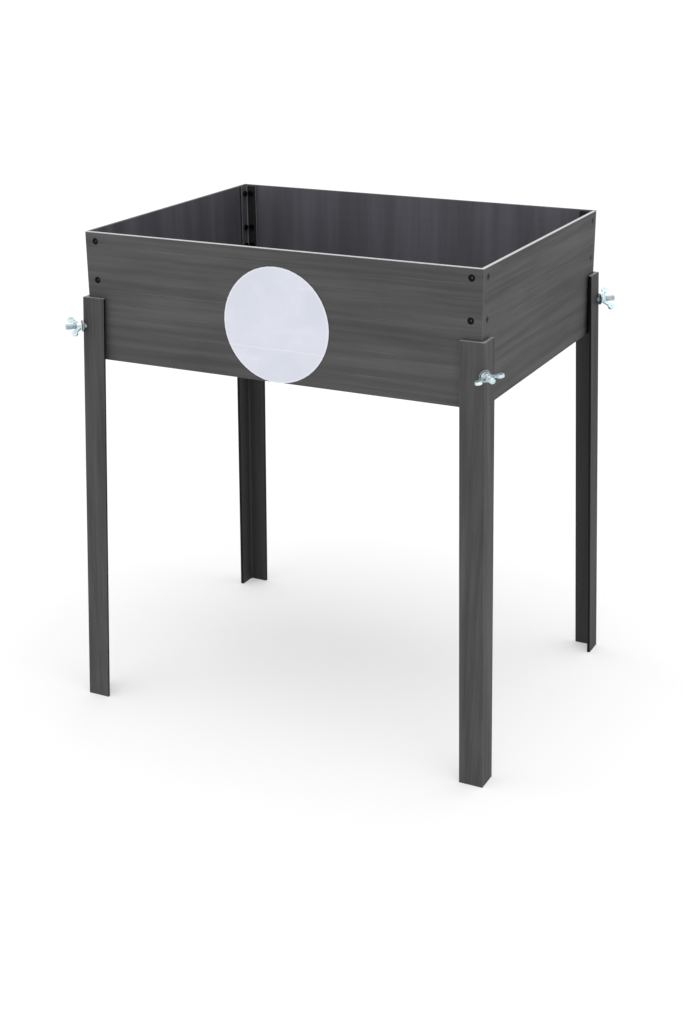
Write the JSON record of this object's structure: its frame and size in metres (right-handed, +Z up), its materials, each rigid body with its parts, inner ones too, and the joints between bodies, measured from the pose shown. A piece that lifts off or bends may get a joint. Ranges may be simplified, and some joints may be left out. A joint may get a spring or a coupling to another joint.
{
  "type": "coal forge",
  "caption": "Open rectangular steel hearth box for a coal fire, with a slotted grate and air inlet under it, on raked angle-iron legs held by wing nuts.",
  "frame": {"origin": "on the ground under the middle of the hearth box", "axes": "+Z up, front with the badge towards -Y, long side along X"},
  "size_m": [0.6681, 0.5165, 0.718],
  "materials": {
    "panel_steel": "hot-rolled sheet with dark mill scale, streaked along its length, bare at the cut edges",
    "floor_steel": "hot-rolled plate with dark mill scale and light scratches",
    "leg_steel": "hot-rolled angle with dark mill scale, streaked along the leg",
    "corner_steel": "small hot-rolled angle with dark mill scale",
    "inlet_steel": "drawn tube and plate with dark mill scale",
    "cast_grate": "rough grey iron casting",
    "black_screw": "black oxide with a worn rim",
    "zinc": "bright zinc plate with a cool blue cast",
    "badge": "matt pale lavender-white paint, blank"
  },
  "bodies": {
    "forge": {"front_panel": "panel_steel", "rear_panel": "panel_steel", "left_panel": "panel_steel", "right_panel": "panel_steel", "hearth_floor": "floor_steel", "blank_badge": "badge", "air_inlet": "inlet_steel", "inlet_screw_1": "black_screw", "inlet_screw_2": "black_screw", "inlet_screw_3": "black_screw", "inlet_screw_4": "black_screw", "corner_angle_front_left": "corner_steel", "leg_front_left": "leg_steel", "leg_bolt_front_left": "zinc", "head_washer_front_left": "zinc", "screw_front_left_wide_1": "black_screw", "screw_front_left_wide_2": "black_screw", "screw_front_left_wide_3": "black_screw", "screw_front_left_side_1": "black_screw", "screw_front_left_side_2": "black_screw", "screw_front_left_side_3": "black_screw", "corner_angle_front_right": "corner_steel", "leg_front_right": "leg_steel", "leg_bolt_front_right": "zinc", "head_washer_front_right": "zinc", "screw_front_right_wide_1": "black_screw", "screw_front_right_wide_2": "black_screw", "screw_front_right_wide_3": "black_screw", "screw_front_right_side_1": "black_screw", "screw_front_right_side_2": "black_screw", "screw_front_right_side_3": "black_screw", "corner_angle_rear_right": "corner_steel", "leg_rear_right": "leg_steel", "leg_bolt_rear_right": "zinc", "head_washer_rear_right": "zinc", "screw_rear_right_wide_1": "black_screw", "screw_rear_right_wide_2": "black_screw", "screw_rear_right_wide_3": "black_screw", "screw_rear_right_side_1": "black_screw", "screw_rear_right_side_2": "black_screw", "screw_rear_right_side_3": "black_screw", "corner_angle_rear_left": "corner_steel", "leg_rear_left": "leg_steel", "leg_bolt_rear_left": "zinc", "head_washer_rear_left": "zinc", "screw_rear_left_wide_1": "black_screw", "screw_rear_left_wide_2": "black_screw", "screw_rear_left_wide_3": "black_screw", "screw_rear_left_side_1": "black_screw", "screw_rear_left_side_2": "black_screw", "screw_rear_left_side_3": "black_screw"},
    "washer_front_left": {"nut_washer_front_left": "zinc"},
    "nut_front_left": {"wing_nut_front_left": "zinc"},
    "washer_front_right": {"nut_washer_front_right": "zinc"},
    "nut_front_right": {"wing_nut_front_right": "zinc"},
    "washer_rear_right": {"nut_washer_rear_right": "zinc"},
    "nut_rear_right": {"wing_nut_rear_right": "zinc"},
    "washer_rear_left": {"nut_washer_rear_left": "zinc"},
    "nut_rear_left": {"wing_nut_rear_left": "zinc"},
    "grate": {"fire_grate": "cast_grate"}
  },
  "joints": [
    {"name": "nut_travel_front_left", "type": "slide", "parent": "forge", "child": "washer_front_left", "axis": [-0.7071, -0.7071, 0], "range_m": [0, 0.015]},
    {"name": "nut_turn_front_left", "type": "hinge", "parent": "washer_front_left", "child": "nut_front_left", "pos_m": [-0.3095, -0.2345, 0.583], "axis": [-0.7071, -0.7071, 0], "range_deg": [0, 4320]},
    {"name": "nut_travel_front_right", "type": "slide", "parent": "forge", "child": "washer_front_right", "axis": [0.7071, -0.7071, 0], "range_m": [0, 0.015]},
    {"name": "nut_turn_front_right", "type": "hinge", "parent": "washer_front_right", "child": "nut_front_right", "pos_m": [0.3095, -0.2345, 0.583], "axis": [0.7071, -0.7071, 0], "range_deg": [0, 4320]},
    {"name": "nut_travel_rear_right", "type": "slide", "parent": "forge", "child": "washer_rear_right", "axis": [0.7071, 0.7071, 0], "range_m": [0, 0.015]},
    {"name": "nut_turn_rear_right", "type": "hinge", "parent": "washer_rear_right", "child": "nut_rear_right", "pos_m": [0.3095, 0.2345, 0.583], "axis": [0.7071, 0.7071, 0], "range_deg": [0, 4320]},
    {"name": "nut_travel_rear_left", "type": "slide", "parent": "forge", "child": "washer_rear_left", "axis": [-0.7071, 0.7071, 0], "range_m": [0, 0.015]},
    {"name": "nut_turn_rear_left", "type": "hinge", "parent": "washer_rear_left", "child": "nut_rear_left", "pos_m": [-0.3095, 0.2345, 0.583], "axis": [-0.7071, 0.7071, 0], "range_deg": [0, 4320]},
    {"name": "grate_lift", "type": "slide", "parent": "forge", "child": "grate", "axis": [0, 0, 1], "range_m": [0, 0.12]}
  ],
  "couplings": [
    {"joint": "nut_turn_front_left", "follows": "nut_travel_front_left", "rad_per_m": 5026.5},
    {"joint": "nut_turn_front_right", "follows": "nut_travel_front_right", "rad_per_m": 5026.5},
    {"joint": "nut_turn_rear_right", "follows": "nut_travel_rear_right", "rad_per_m": 5026.5},
    {"joint": "nut_turn_rear_left", "follows": "nut_travel_rear_left", "rad_per_m": 5026.5}
  ]
}
